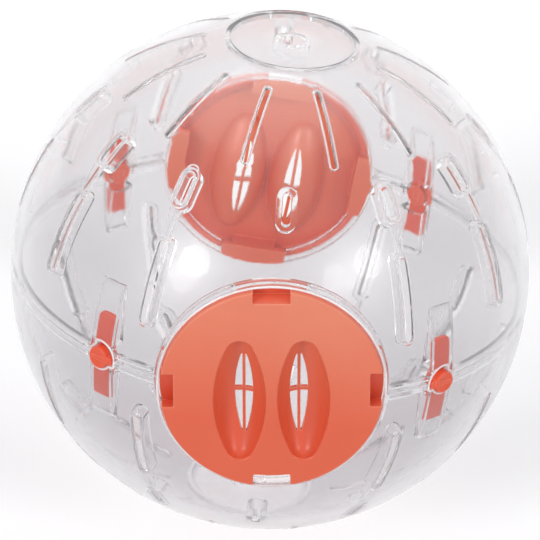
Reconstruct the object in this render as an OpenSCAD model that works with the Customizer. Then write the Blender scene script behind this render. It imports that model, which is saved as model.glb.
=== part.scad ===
// Run-about ball for a small pet: two clear half shells, two bayonet doors and four quarter-turn latches.
// Millimetres. Origin at the centre of the ball, +Z through the upper pole, front door at -Y.

/* [Ball] */
// Outer diameter of the ball
ball_d = 180; // [160:1:200]
// Thickness of the shell wall
wall = 1.8; // [1.5:0.1:2.2]

/* [Seam] */
// Height of the thickened rim on each half
rim_h = 2.75; // [2.4:0.05:3.5]
// How far the rim stands inwards from the wall
rim_extra = 2; // [1.8:0.1:2.4]
// Thickness of the tongue on the lower rim
tongue_t = 0.8; // [0.6:0.1:1]
// Height of the tongue on the lower rim
tongue_h = 1.2; // [0.8:0.1:1.5]
// Clearance between neighbouring pieces
gap = 0.3; // [0.2:0.05:0.35]

/* [Poles] */
// Diameter of the raised flat disc on each pole
pole_d = 45.8; // [40:0.2:50]
// How far the flat disc lies below the tip of the sphere
pole_drop = 1; // [0.6:0.1:1.4]
// Diameter of the bore of the axle socket
socket_d = 10; // [6:0.5:12]
// Depth of the axle socket below the flat disc
socket_depth = 5.5; // [4:0.5:8]
// Wall and floor thickness of the socket
socket_wall = 1.2; // [1:0.1:1.8]

/* [Air slots] */
// Slots in each ring around a pole
slot_count = 12; // [10:2:12]
// Width of the slots in the upper ring
top_slot_w = 2; // [1.5:0.1:2.6]
// Latitude of the lower end of the upper ring, degrees
top_slot_from = 50.2; // [49:0.2:53]
// Latitude of the upper end of the upper ring, degrees
top_slot_to = 70.2; // [66:0.2:71]
// Width of the slots in the middle ring
mid_slot_w = 3; // [2.2:0.1:3.6]
// Latitude of the lower end of the middle ring, degrees
mid_slot_from = 38; // [37:0.2:39]
// Latitude of the upper end of the middle ring, degrees
mid_slot_to = 45.1; // [44:0.1:46]
// Width of the slots in the lower ring
low_slot_w = 3.2; // [2.4:0.1:3.6]
// Latitude of the lower end of the lower ring, degrees
low_slot_from = 11.3; // [11:0.1:13]
// Latitude of the upper end of the lower ring, degrees
low_slot_to = 29.8; // [26:0.2:30.4]
// Wall thickness of the collar around a slot of the middle ring
mid_collar_t = 1.9; // [1.2:0.1:2]
// Wall thickness of the collar around a slot of the lower ring
low_collar_t = 1.1; // [0.9:0.1:1.6]
// How far the collars reach inwards from the outer surface
slot_collar_depth = 5.2; // [3.5:0.1:6]
// Thickness of the rib between a middle and a lower slot
rib_t = 1.4; // [1:0.1:2]
// How far the rib stands inwards from the wall
rib_h = 1.2; // [0.8:0.1:2]

/* [Doors] */
// Diameter of the door
door_d = 74; // [70:0.5:76]
// How far the door's face stands out from the edge of its opening
door_proud = 1.6; // [1:0.1:2.2]
// Turn of the door and its seat against the seam, degrees
door_turn = 5; // [0:0.5:8]
// Thickness of the door plate
plate_t = 2; // [1.6:0.1:2.4]
// Chamfer on the door's front edge
door_chamfer = 0.5; // [0.3:0.1:0.8]
// Thickness of the wall behind the door's edge
skirt_t = 1.8; // [1.4:0.1:2.2]
// Depth of the door's edge from face to back
skirt_depth = 5.4; // [4.6:0.1:6]
// Width of the four notches in the door's edge
notch_w = 12.4; // [10:0.2:14]
// Depth of the four notches in the door's edge
notch_depth = 4.5; // [4.2:0.1:4.8]
// Thickness of the arm behind each notch
arm_t = 1.5; // [1.2:0.1:2]
// Width of the foot on each arm
foot_w = 23.4; // [20:0.2:25]
// Thickness of the foot
foot_t = 2.6; // [2:0.1:3]
// Radial clearance around the door in its seat
seat_gap = 0.5; // [0.4:0.05:0.7]
// Wall thickness of the seat's tube
seat_t = 1.2; // [1:0.1:1.6]
// How far the inner ledge of the seat reaches in from the tube
ledge_w = 3.5; // [3:0.1:3.8]
// Thickness of the inner ledge of the seat
ledge_t = 1.5; // [1.2:0.1:2]

/* [Finger recesses] */
// Width of a finger recess
recess_w = 17.2; // [14:0.2:18]
// Height of a finger recess
recess_h = 44.8; // [40:0.2:46]
// Radius of a recess's upper and lower end
recess_end_r = 4.6; // [3:0.2:5.4]
// Depth of a finger recess
recess_depth = 8.6; // [7:0.2:9.4]
// Distance of a recess from the middle of the door
recess_x = 10.6; // [9.8:0.1:12]
// How far the middle of a recess lies below the middle of the door
recess_low = 4; // [3:0.2:4.6]
// Wall thickness behind a recess
recess_wall = 1.6; // [1.4:0.1:2]
// Width of the slit in a recess
slit_w = 5.9; // [4.6:0.1:6.2]
// Height of the slit in a recess
slit_h = 30; // [24:0.2:31]
// Radius of a slit's upper and lower end
slit_end_r = 1; // [0.7:0.1:1.4]
// Distance of a slit from the middle of the door
slit_x = 9.1; // [8.4:0.1:11]
// How far the middle of a slit lies below the middle of the door
slit_low = 4; // [2:0.1:5]
// Width of the upright bar in a slit
slit_upright = 1.1; // [1:0.1:1.8]
// Height of the cross bar in a slit
slit_cross = 1.2; // [1:0.1:2.4]

/* [Latches] */
// Angle of a latch from the middle of the nearer door, degrees
latch_angle = 39.6; // [38.5:0.1:41]
// Width of the latch bar
bar_w = 6.8; // [6.4:0.1:7.2]
// Height of the latch bar
bar_h = 30.8; // [26:0.2:34]
// Thickness of the latch bar
bar_t = 1.6; // [1.4:0.1:1.7]
// Corner radius at the upper end of the latch bar
bar_round = 2; // [1:0.1:3]
// Wall thickness of the pocket around the latch bar
pocket_t = 1; // [0.8:0.1:1.4]
// Depth of the pocket from the outer surface to its back
pocket_depth = 6.6; // [6.4:0.1:7]
// How far the pocket reaches above the seam
pocket_up = 26.5; // [22:0.5:27]
// How far the pocket reaches below the seam
pocket_down = 22.5; // [20:0.5:26]
// Diameter of the knob
knob_d = 7.6; // [7:0.1:8]
// How far the knob stands out of the ball
knob_proud = 1; // [0.6:0.1:1.6]
// Chamfer on the knob's edge
knob_chamfer = 0.5; // [0.3:0.1:0.8]
// Width of the knob's pointer
pointer_w = 2.8; // [2.2:0.1:3]
// Distance from the knob's axis to the pointer's tip
pointer_r = 5.4; // [5.2:0.1:5.7]
// Diameter of the knob's shaft
shaft_d = 3.8; // [3.4:0.1:4]
// Running clearance between shaft and bar
shaft_gap = 0.05; // [0.03:0.01:0.08]
// Side of the square end of the shaft
spigot_w = 2.4; // [2:0.1:2.4]
// Thickness of the cam
cam_t = 1.2; // [1:0.1:1.3]
// Radius of the catch peg
peg_r = 0.5; // [0.4:0.05:0.55]
// Thickness of the cam's hook
hook_t = 1.05; // [0.9:0.05:1.2]
// Turn of the knob from open to locked, degrees
knob_travel = 90; // [80:1:95]

/* [Hidden] */
$fn = 128;

// Angles of the two doors, of the four notches of a door, and the two sides of a pair
half_turns = [0, 180];
quarter_turns = [0, 90, 180, 270];
sides = [-1, 1];
// Overrun of every cut
over = 1;
// How far a joined piece sinks into the wall that carries it
sink = 0.6;
clear_color = [0.87, 0.88, 0.92, 0.4];
door_color = [0.91, 0.46, 0.35];
latch_color = [0.88, 0.36, 0.22];

ball_r = ball_d / 2;
inner_r = ball_r - wall;
rim_in_r = inner_r - rim_extra;
pole_r = pole_d / 2;
pole_top = ball_r - pole_drop;
socket_r = socket_d / 2;
tongue_r = inner_r - tongue_t / 2;
slot_step = 360 / slot_count;
slot_in_r = ball_r - slot_collar_depth;
mid_collar_extra_h = 2 * mid_collar_t;

door_r = door_d / 2;
face_y = sqrt(ball_r * ball_r - door_r * door_r) + door_proud;
seat_r = door_r + seat_gap;
ledge_y = face_y - skirt_depth - gap;
seat_back_y = ledge_y - ledge_t;
ledge_r = seat_r - ledge_w;
arm_r = door_r - notch_depth;
foot_y = seat_back_y - gap;
foot_back_y = foot_y - foot_t;
foot_r = seat_r - gap;
recess_r = (recess_w * recess_w / 4 + recess_depth * recess_depth) / (2 * recess_depth);
recess_axis_y = recess_depth - recess_r - face_y;

bar_out_r = inner_r - gap;
bar_in_r = bar_out_r - bar_t;
channel_w = bar_w + 2 * gap;
pocket_w = channel_w + 2 * pocket_t;
pocket_back = ball_r - pocket_depth;
channel_back = pocket_back + pocket_t;
knob_r = knob_d / 2;
hole_r = knob_r + gap;
swing_r = pointer_r + gap;
swing_side = pointer_w / 2 + gap;
peg_x = bar_w / 2 + gap + peg_r;
peg_z = swing_side + peg_r / 2;
peg_path_r = norm([peg_x, peg_z]);
peg_angle = atan2(peg_z, peg_x);
hook_in_r = peg_path_r + peg_r + gap;
hook_out_r = hook_in_r + hook_t;
hook_hub_r = peg_path_r - peg_r - gap;
peg_margin = asin((peg_r + gap) / peg_path_r);
hook_end = 180 + peg_angle - peg_margin;
hook_slot_start = hook_end - knob_travel;
hook_start = hook_slot_start - asin(hook_t / peg_path_r);
claw_space_r = hook_out_r + gap;
cam_out = sqrt(bar_in_r * bar_in_r - hook_out_r * hook_out_r) - gap;
cam_in = cam_out - cam_t;
// Azimuths of the latches, and whether each is a mirror image, so that every pointer faces the nearer door
latch_azimuths = [-latch_angle, latch_angle, latch_angle - 180, 180 - latch_angle];
latch_mirrored = [false, true, true, false];

// Turns a shape that points to -Y to the given azimuth and latitude
module at_place(azimuth, latitude) {
  rotate([0, 0, azimuth])
    rotate([-latitude, 0, 0])
      children();
}

// Sets a latch shape, drawn at -Y with its door towards +X, at one of the four latches
module at_latch(index) {
  rotate([0, 0, latch_azimuths[index]])
    mirror([latch_mirrored[index] ? 1 : 0, 0, 0])
      children();
}

// Lays a flat XZ outline in front of -Y: it fills from near to far, both measured outwards from the centre
module outward(near, far) {
  translate([0, -near, 0])
    rotate([90, 0, 0])
      linear_extrude(height = far - near)
        children();
}

// A solid cylinder along -Y between two distances from the centre
module outward_rod(radius, near, far) {
  translate([0, -near, 0])
    rotate([90, 0, 0])
      cylinder(r = radius, h = far - near);
}

// Flat outline of an upright slot with round ends
module slot_outline(width, height) {
  square([width, height - width], center = true);
  for (side = sides)
    translate([0, side * (height - width) / 2])
      circle(d = width);
}

// Half section of a half shell: wall, flat pole disc, axle socket and thick rim, with or without a groove
module shell_section(groove) {
  difference() {
    intersection() {
      union() {
        circle(r = ball_r);
        square([pole_r, pole_top]);
      }
      square([ball_r + over, pole_top]);
    }
    intersection() {
      union() {
        circle(r = inner_r);
        square([pole_r - wall, pole_top - wall]);
      }
      square([ball_r, pole_top - wall]);
    }
    translate([0, pole_top - socket_depth])
      square([socket_r, socket_depth + over]);
    if (groove)
      tongue_section(gap);
  }
  difference() {
    translate([rim_in_r, 0])
      square([rim_extra + wall / 2, rim_h]);
    if (groove)
      tongue_section(gap);
  }
  difference() {
    translate([0, pole_top - socket_depth - socket_wall])
      square([socket_r + socket_wall, socket_depth + socket_wall - wall / 2]);
    translate([0, pole_top - socket_depth])
      square([socket_r, socket_depth + over]);
  }
}

// Centres the children on every slot of a ring, and leaves out those that would meet a door
module slot_ring(from, to, half_step, beside_doors) {
  for (i = [0 : slot_count - 1]) {
    azimuth = (i + (half_step ? 1 / 2 : 0)) * slot_step;
    near_door = abs(sin(azimuth)) * ball_r < seat_r + low_slot_w;
    if (!(beside_doors && near_door))
      at_place(azimuth, (from + to) / 2)
        children();
  }
}

function slot_height(from, to) = 2 * ball_r * sin((to - from) / 2);

// Every air slot of the upper half, as a cutter
module slot_cuts() {
  slot_ring(top_slot_from, top_slot_to, true, false)
    outward(slot_in_r - over, ball_r + over)
      slot_outline(top_slot_w, slot_height(top_slot_from, top_slot_to));
  slot_ring(mid_slot_from, mid_slot_to, false, false)
    outward(slot_in_r - wall, ball_r + over)
      slot_outline(mid_slot_w, slot_height(mid_slot_from, mid_slot_to));
  slot_ring(low_slot_from, low_slot_to, false, true)
    outward(slot_in_r - wall, ball_r + over)
      slot_outline(low_slot_w, slot_height(low_slot_from, low_slot_to));
}

// Collars that run inwards around the middle and lower slots, and the ribs between them
module slot_collars() {
  intersection() {
    union() {
      slot_ring(mid_slot_from, mid_slot_to, false, false)
        outward(slot_in_r - wall, ball_r)
          slot_outline(mid_slot_w + 2 * mid_collar_t,
            slot_height(mid_slot_from, mid_slot_to) + mid_collar_extra_h);
      slot_ring(low_slot_from, low_slot_to, false, true)
        outward(slot_in_r - wall, ball_r)
          slot_outline(low_slot_w + 2 * low_collar_t,
            slot_height(low_slot_from, low_slot_to) + 2 * low_collar_t);
    }
    difference() {
      sphere(r = inner_r + sink);
      sphere(r = slot_in_r);
    }
  }
  intersection() {
    slot_ring(low_slot_to, mid_slot_from, false, true)
      outward(slot_in_r - wall, ball_r)
        square([rib_t, slot_height(low_slot_to, mid_slot_from)], center = true);
    difference() {
      sphere(r = inner_r + sink);
      sphere(r = inner_r - rib_h);
    }
  }
}

// The half tubes that the doors sit in, above the seam or below it for side -1, before their bore is cut
module seat_tubes(side) {
  tube_r = seat_r + seat_t;
  intersection() {
    for (turn = half_turns)
      rotate([0, 0, turn])
        outward(seat_back_y, ball_r)
          intersection() {
            circle(r = tube_r);
            translate([-tube_r - over, side > 0 ? 0 : -tube_r - over])
              square([2 * (tube_r + over), tube_r + over]);
          }
    sphere(r = ball_r);
  }
}

// Bore of the two seats, the opening inside their ledges and the passages for the door's feet
module seat_cuts() {
  for (turn = half_turns)
    rotate([0, 0, turn]) {
      outward_rod(seat_r, ledge_y, ball_r + over);
      outward_rod(ledge_r, seat_back_y - over, ball_r);
      intersection() {
        outward_rod(seat_r, seat_back_y - over, ball_r);
        four_ways()
          outward(seat_back_y - over, ball_r)
            translate([-foot_w / 2 - seat_gap, 0])
              square([foot_w + 2 * seat_gap, seat_r]);
      }
    }
}

// Repeats a shape at the four sides of a door, with the door's own turn
module four_ways() {
  for (quarter = quarter_turns)
    rotate([0, quarter - door_turn, 0])
      children();
}

// Walls of the four pockets in one half
module pocket_walls(side) {
  height = side > 0 ? pocket_up : pocket_down;
  intersection() {
    for (index = [0 : 3])
      at_latch(index)
        outward(pocket_back, ball_r)
          translate([-pocket_w / 2, side > 0 ? 0 : -height])
            square([pocket_w, height]);
    sphere(r = inner_r + sink);
  }
}

// Space of the four pockets: the channel for the bar and the room that the cam turns in
module pocket_cuts(side) {
  height = (side > 0 ? pocket_up : pocket_down) - pocket_t;
  intersection() {
    for (index = [0 : 3])
      at_latch(index)
        outward(channel_back, ball_r)
          translate([-channel_w / 2, side > 0 ? -over : -height])
            square([channel_w, height + over]);
    sphere(r = inner_r);
  }
  for (index = [0 : 3])
    at_latch(index)
      outward_rod(claw_space_r, pocket_back - over, bar_in_r + gap);
}

// Round holes for the knobs: above the seam with the quarter that the pointer swings through, below it
// with room for the pointer at rest
module knob_holes(side) {
  for (index = [0 : 3])
    at_latch(index)
      outward(pocket_back, ball_r + over) {
        circle(r = hole_r);
        intersection() {
          circle(r = swing_r);
          if (side > 0)
            translate([-swing_side, -over])
              square([swing_r + swing_side, swing_r + over]);
          else
            translate([0, -swing_side])
              square([swing_r, 2 * swing_side]);
        }
      }
}

// Pegs that the cams hook under, standing inwards from the lower rim beside the bars
module catch_pegs() {
  intersection() {
    for (index = [0 : 3])
      at_latch(index)
        translate([-peg_x, 0, -peg_z])
          outward_rod(peg_r, cam_in, ball_r);
    sphere(r = inner_r + sink);
  }
}

// Half section of the tongue, or of its groove when grown by a clearance
module tongue_section(grow) {
  translate([tongue_r - tongue_t / 2 - grow, -over])
    square([tongue_t + 2 * grow, tongue_h + grow + over]);
}

// Tongue that stands on the lower rim, with breaks at the doors and latches
module rim_tongue() {
  difference() {
    rotate_extrude()
      tongue_section(0);
    for (turn = half_turns)
      rotate([0, 0, turn])
        outward_rod(seat_r + seat_t + seat_gap, 0, ball_r + over);
    for (index = [0 : 3])
      at_latch(index)
        outward_rod(claw_space_r + wall, 0, ball_r + over);
  }
}

module lower_shell() {
  color(clear_color) {
    difference() {
      union() {
        mirror([0, 0, 1])
          rotate_extrude()
            shell_section(false);
        mirror([0, 0, 1])
          slot_collars();
        seat_tubes(-1);
        pocket_walls(-1);
      }
      mirror([0, 0, 1])
        slot_cuts();
      seat_cuts();
      pocket_cuts(-1);
      knob_holes(-1);
    }
    rim_tongue();
    catch_pegs();
  }
}

module upper_shell() {
  color(clear_color)
    difference() {
      union() {
        rotate_extrude()
          shell_section(true);
        slot_collars();
        seat_tubes(1);
        pocket_walls(1);
      }
      slot_cuts();
      seat_cuts();
      pocket_cuts(1);
      knob_holes(1);
    }
}

// Upright oval: two long side arcs that run smoothly into small end arcs, grown by a wall
module oval(half_w, half_h, end_r, grow) {
  end_y = half_h - end_r;
  side_r = (half_w * half_w + half_h * half_h - 2 * half_h * end_r) / (2 * (half_w - end_r));
  join_y = end_y * (side_r + grow) / (side_r - end_r);
  intersection() {
    translate([side_r - half_w, 0])
      circle(r = side_r + grow);
    translate([half_w - side_r, 0])
      circle(r = side_r + grow);
    square([2 * (half_w + grow), 2 * join_y], center = true);
  }
  for (side = sides)
    translate([0, side * end_y])
      circle(r = end_r + grow);
}

// Oval slit with its upright and cross bar left standing
module slit_outline() {
  difference() {
    oval(slit_w / 2, slit_h / 2, slit_end_r, 0);
    square([slit_upright, slit_h + over], center = true);
    square([slit_w + over, slit_cross], center = true);
  }
}

// Shape of a finger recess: an oval turned about its upright axis
module recess_shape(side, grow) {
  translate([side * recess_x, recess_axis_y, -recess_low])
    rotate_extrude()
      intersection() {
        oval(recess_r, recess_h / 2, recess_end_r, grow);
        translate([0, -recess_h])
          square([recess_w, 2 * recess_h]);
      }
}

// A door as it sits in the front of the ball
module door_body() {
  rotate([0, -door_turn, 0])
    difference() {
      union() {
        door_cap();
        for (quarter = quarter_turns)
          rotate([0, quarter, 0])
            door_arm();
        intersection() {
          for (side = sides)
            recess_shape(side, recess_wall);
          outward_rod(arm_r, 0, face_y - plate_t / 2);
        }
      }
      for (side = sides) {
        recess_shape(side, 0);
        translate([side * slit_x, 0, -slit_low])
          outward(face_y - skirt_depth - recess_depth - recess_wall, face_y + over)
            slit_outline();
      }
    }
}

// Plate and edge of the door with its four notches
module door_cap() {
  difference() {
    translate([0, -face_y, 0])
      rotate([-90, 0, 0])
        rotate_extrude()
          polygon([
            [0, 0],
            [door_r - door_chamfer, 0],
            [door_r, door_chamfer],
            [door_r, skirt_depth],
            [door_r - skirt_t, skirt_depth],
            [door_r - skirt_t, plate_t],
            [0, plate_t]
          ]);
    for (quarter = quarter_turns)
      rotate([0, quarter, 0])
        outward(face_y - skirt_depth - over, face_y + over)
          translate([-notch_w / 2, arm_r])
            square([notch_w, notch_depth + over]);
  }
}

// Wall around one notch, and the arm and foot that hook behind the seat's ledge
module door_arm() {
  intersection() {
    union() {
      outward(foot_back_y, face_y - plate_t / 2)
        translate([-notch_w / 2 - arm_t, arm_r - arm_t])
          square([notch_w + 2 * arm_t, arm_t]);
      for (side = sides)
        outward(face_y - skirt_depth, face_y - plate_t / 2)
          translate([side * (notch_w + arm_t) / 2 - arm_t / 2, arm_r - arm_t])
            square([arm_t, notch_depth + arm_t]);
      outward(foot_back_y, foot_y)
        translate([-foot_w / 2, arm_r - arm_t])
          square([foot_w, notch_depth + arm_t + seat_gap]);
    }
    union() {
      outward_rod(door_r - door_chamfer, foot_y, face_y);
      outward_rod(foot_r, foot_back_y - over, foot_y);
    }
  }
}

module front_door() {
  color(door_color)
    door_body();
}

module back_door() {
  color(door_color)
    rotate([0, 0, 180])
      door_body();
}

// Flat outline of a latch bar, with its upper corners rounded
module bar_outline() {
  difference() {
    union() {
      translate([-bar_w / 2, -bar_h / 2])
        square([bar_w, bar_h - bar_round]);
      translate([bar_round - bar_w / 2, -bar_h / 2])
        square([bar_w - 2 * bar_round, bar_h]);
      for (side = sides)
        translate([side * (bar_w / 2 - bar_round), bar_h / 2 - bar_round])
          circle(r = bar_round);
    }
    circle(d = shaft_d + 2 * shaft_gap);
  }
}

module latch_bar(index) {
  color(latch_color)
    intersection() {
      at_latch(index)
        outward(pocket_back, ball_r)
          bar_outline();
      difference() {
        sphere(r = bar_out_r);
        sphere(r = bar_in_r);
      }
    }
}

// Knob with its pointer towards the door, its shaft and the square end that carries the cam
module latch_knob(index) {
  head_in = bar_out_r + gap;
  head_out = ball_r + knob_proud;
  color(latch_color)
    at_latch(index) {
      outward_rod(knob_r, head_in, head_out - knob_chamfer);
      translate([0, knob_chamfer - head_out, 0])
        rotate([90, 0, 0])
          cylinder(r1 = knob_r, r2 = knob_r - knob_chamfer, h = knob_chamfer);
      outward(head_in, head_out - knob_chamfer)
        intersection() {
          circle(r = pointer_r);
          translate([0, -pointer_w / 2])
            square([pointer_r, pointer_w]);
        }
      outward_rod(shaft_d / 2, cam_out, head_in + sink);
      outward(cam_in, cam_out + sink)
        square(spigot_w, center = true);
    }
}

// Part of a ring between two radii and two angles, as a flat outline
module ring_part(from_r, to_r, from_angle, to_angle) {
  reach = 2 * to_r;
  middle = (from_angle + to_angle) / 2;
  intersection() {
    difference() {
      circle(r = to_r);
      circle(r = from_r);
    }
    polygon([
      [0, 0],
      [reach * cos(from_angle), reach * sin(from_angle)],
      [reach * cos(middle), reach * sin(middle)],
      [reach * cos(to_angle), reach * sin(to_angle)]
    ]);
  }
}

// Hooked cam: its open slot passes over the catch peg as the knob is turned
module cam_outline() {
  difference() {
    union() {
      circle(r = hook_hub_r);
      ring_part(spigot_w, hook_out_r, hook_start, hook_end);
    }
    ring_part(hook_hub_r, hook_in_r, hook_slot_start, hook_end + peg_margin);
    square(spigot_w + 2 * shaft_gap, center = true);
  }
}

module latch_cam(index) {
  color(latch_color)
    at_latch(index)
      outward(cam_in, cam_out)
        cam_outline();
}

lower_shell();
upper_shell();
front_door();
back_door();
latch_bar(0);  // latch_bar_front_left
latch_bar(1);  // latch_bar_front_right
latch_bar(2);  // latch_bar_back_left
latch_bar(3);  // latch_bar_back_right
latch_knob(0);  // latch_knob_front_left
latch_knob(1);  // latch_knob_front_right
latch_knob(2);  // latch_knob_back_left
latch_knob(3);  // latch_knob_back_right
latch_cam(0);  // latch_cam_front_left
latch_cam(1);  // latch_cam_front_right
latch_cam(2);  // latch_cam_back_left
latch_cam(3);  // latch_cam_back_right
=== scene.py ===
"""Looks of a clear run-about ball with coral doors and latches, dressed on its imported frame.

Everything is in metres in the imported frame: origin at the ball's centre, +Z through the
upper pole, the front door at -Y.
"""

import logging
import math
from dataclasses import dataclass
from enum import Enum

import bmesh
import bpy
from mathutils import Matrix, Vector


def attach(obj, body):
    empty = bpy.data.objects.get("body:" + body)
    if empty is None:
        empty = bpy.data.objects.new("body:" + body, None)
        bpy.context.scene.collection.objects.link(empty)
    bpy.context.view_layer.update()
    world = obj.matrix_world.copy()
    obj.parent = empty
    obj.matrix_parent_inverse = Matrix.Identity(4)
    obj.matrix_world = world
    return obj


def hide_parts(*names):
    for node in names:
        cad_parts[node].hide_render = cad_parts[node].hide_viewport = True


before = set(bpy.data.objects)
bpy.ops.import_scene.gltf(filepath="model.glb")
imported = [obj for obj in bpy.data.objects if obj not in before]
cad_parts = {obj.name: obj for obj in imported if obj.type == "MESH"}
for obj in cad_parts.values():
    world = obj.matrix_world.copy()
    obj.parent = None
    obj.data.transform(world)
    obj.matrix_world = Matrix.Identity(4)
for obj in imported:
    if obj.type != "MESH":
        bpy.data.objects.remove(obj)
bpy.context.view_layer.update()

MM = 0.001
BALL_RADIUS = 90.0 * MM
BEAD_SINK = 0.55  # share of a bead's radius by which its middle lies inside the skin
LATCH_ANGLE = 39.6  # degrees from the middle of the nearer door
LATCHES = (("front_left", -LATCH_ANGLE, False), ("front_right", LATCH_ANGLE, True),
           ("back_left", LATCH_ANGLE - 180, True), ("back_right", 180 - LATCH_ANGLE, False))
WHITE = (1.0, 1.0, 1.0, 1.0)

Point2 = tuple[float, float]
Point3 = tuple[float, float, float]
Colour = tuple[float, float, float, float]
Socket = bpy.types.NodeSocket
log = logging.getLogger("run_about_ball")


# Plain mesh helpers


def in_scene(name: str, data: bpy.types.ID) -> bpy.types.Object:
    """Adds an object to the scene.

    Args:
        name: Name of the object.
        data: Its mesh, lamp or camera.

    Returns:
        The new object.
    """
    obj = bpy.data.objects.new(name, data)
    bpy.context.scene.collection.objects.link(obj)
    return obj


def new_object(name: str, mesh: bpy.types.Mesh) -> bpy.types.Object:
    """Adds a mesh, with its place in its vertices, as an object at the origin."""
    mesh.name = name
    return in_scene(name, mesh)


def drop(obj: bpy.types.Object) -> None:
    """Removes a work object and its mesh.

    Args:
        obj: The object.
    """
    mesh = obj.data
    bpy.data.objects.remove(obj)
    bpy.data.meshes.remove(mesh)


def evaluated(obj: bpy.types.Object) -> bpy.types.Mesh:
    """A plain mesh of an object with its modifiers applied."""
    graph = bpy.context.evaluated_depsgraph_get()
    return bpy.data.meshes.new_from_object(obj.evaluated_get(graph), depsgraph=graph)


def faced_outwards(mesh: bpy.types.Mesh, merge: float = 0.0) -> bpy.types.Mesh:
    """Turns the faces of a closed mesh outwards.

    Args:
        mesh: The mesh, which is changed.
        merge: Distance within which points are merged first, or 0 for none.

    Returns:
        The same mesh.
    """
    bm = bmesh.new()
    bm.from_mesh(mesh)
    if merge:
        bmesh.ops.remove_doubles(bm, verts=bm.verts, dist=merge)
    bmesh.ops.recalc_face_normals(bm, faces=bm.faces)
    bm.to_mesh(mesh)
    bm.free()
    return mesh


def closed_mesh(verts: list[Vector], faces: list[list[int]]) -> bpy.types.Mesh:
    """Makes a closed mesh whose faces point outwards.

    Args:
        verts: Corner points.
        faces: Corner numbers of each face.

    Returns:
        The mesh.
    """
    mesh = bpy.data.meshes.new("work")
    mesh.from_pydata([tuple(v) for v in verts], [], faces)
    return faced_outwards(mesh, merge=1e-7)


def skin(rings: list[list[Vector]]) -> bpy.types.Mesh:
    """Joins rings of equally many points into one closed skin with flat ends.

    Args:
        rings: Closed rings of points, in order.

    Returns:
        The mesh.
    """
    count = len(rings[0])
    verts = [p for ring in rings for p in ring]
    faces = []
    for row in range(len(rings) - 1):
        for i in range(count):
            a, b = row * count + i, row * count + (i + 1) % count
            faces.append([a, b, b + count, a + count])
    faces.append(list(range(count)))
    last = (len(rings) - 1) * count
    faces.append([last + i for i in reversed(range(count))])
    return closed_mesh(verts, faces)


def turned(profile: list[Point2], segments: int) -> bpy.types.Mesh:
    """Turns a half profile around the Y axis into a closed body.

    Args:
        profile: Points (radius, distance in front of the centre) that start and end on the axis.
        segments: Steps around the axis.

    Returns:
        The closed mesh.
    """
    verts: list[Vector] = []
    rows: list[list[int]] = []
    for radius, distance in profile:
        first = len(verts)
        if radius < 1e-9:
            verts.append(Vector((0, -distance, 0)))
            rows.append([first] * segments)
            continue
        for i in range(segments):
            a = 2 * math.pi * i / segments
            verts.append(Vector((radius * math.cos(a), -distance, radius * math.sin(a))))
        rows.append(list(range(first, len(verts))))
    faces = []
    for low, high in zip(rows, rows[1:]):
        for i in range(segments):
            j = (i + 1) % segments
            faces.append(list(dict.fromkeys([low[i], low[j], high[j], high[i]])))
    return closed_mesh(verts, [f for f in faces if len(f) > 2])


def shape(mesh: bpy.types.Mesh, tool: bpy.types.Mesh, operation: str) -> bpy.types.Mesh:
    """Joins a closed mesh with another, or cuts it by the other.

    Args:
        mesh: The mesh to work on, which is used up.
        tool: The other mesh, which is used up.
        operation: UNION, DIFFERENCE or INTERSECT.

    Returns:
        The result as a plain mesh.
    """
    body, other = new_object("work_body", mesh), new_object("work_tool", tool)
    modifier = body.modifiers.new("cut", "BOOLEAN")
    modifier.operation = operation
    modifier.solver = "MANIFOLD"
    modifier.object = other
    result = evaluated(body)
    drop(body)
    drop(other)
    result.materials.clear()
    return result


def dress(mesh: bpy.types.Mesh, finish: bpy.types.Material) -> None:
    """Gives every face of a mesh one finish.

    Args:
        mesh: The mesh.
        finish: The finish.
    """
    mesh.materials.clear()
    mesh.materials.append(finish)
    mesh.polygons.foreach_set("material_index", [0] * len(mesh.polygons))


def moulded(name: str, mesh: bpy.types.Mesh, degrees: float,
            finish: bpy.types.Material) -> bpy.types.Object:
    """Makes a piece whose rounded edges shade smooth and whose flat faces stay even.

    Args:
        name: Name of the piece.
        mesh: Its mesh.
        degrees: Angle between faces past which an edge stays sharp.
        finish: Its finish.

    Returns:
        The piece.
    """
    bm = bmesh.new()
    bm.from_mesh(mesh)
    limit = math.radians(degrees)
    for face in bm.faces:
        face.smooth = True
    for edge in bm.edges:
        edge.smooth = len(edge.link_faces) == 2 and edge.calc_face_angle(0.0) < limit
    bm.to_mesh(mesh)
    bm.free()
    dress(mesh, finish)
    piece = new_object(name, mesh)
    modifier = piece.modifiers.new("even_normals", "WEIGHTED_NORMAL")
    modifier.mode = "FACE_AREA_WITH_ANGLE"
    modifier.keep_sharp = True
    return piece


# Flat outlines, as points (x, z) in metres, anticlockwise, and rings and blocks made of them


def quarter_turn(steps: int) -> list[Point2]:
    """Sine and cosine at each step of a quarter turn, ends included."""
    return [(math.sin(a), math.cos(a)) for a in (math.pi / 2 * i / steps for i in range(steps + 1))]


def arc_points(centre: Point2, radius: float, start: float, end: float, steps: int) -> list[Point2]:
    """Points along an arc.

    Args:
        centre: Centre of the arc.
        radius: Its radius.
        start: First angle in degrees.
        end: Last angle in degrees.
        steps: Number of steps between the two.

    Returns:
        The points, ends included.
    """
    points = []
    for i in range(steps + 1):
        a = math.radians(start + (end - start) * i / steps)
        points.append((centre[0] + radius * math.cos(a), centre[1] + radius * math.sin(a)))
    return points


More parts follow.
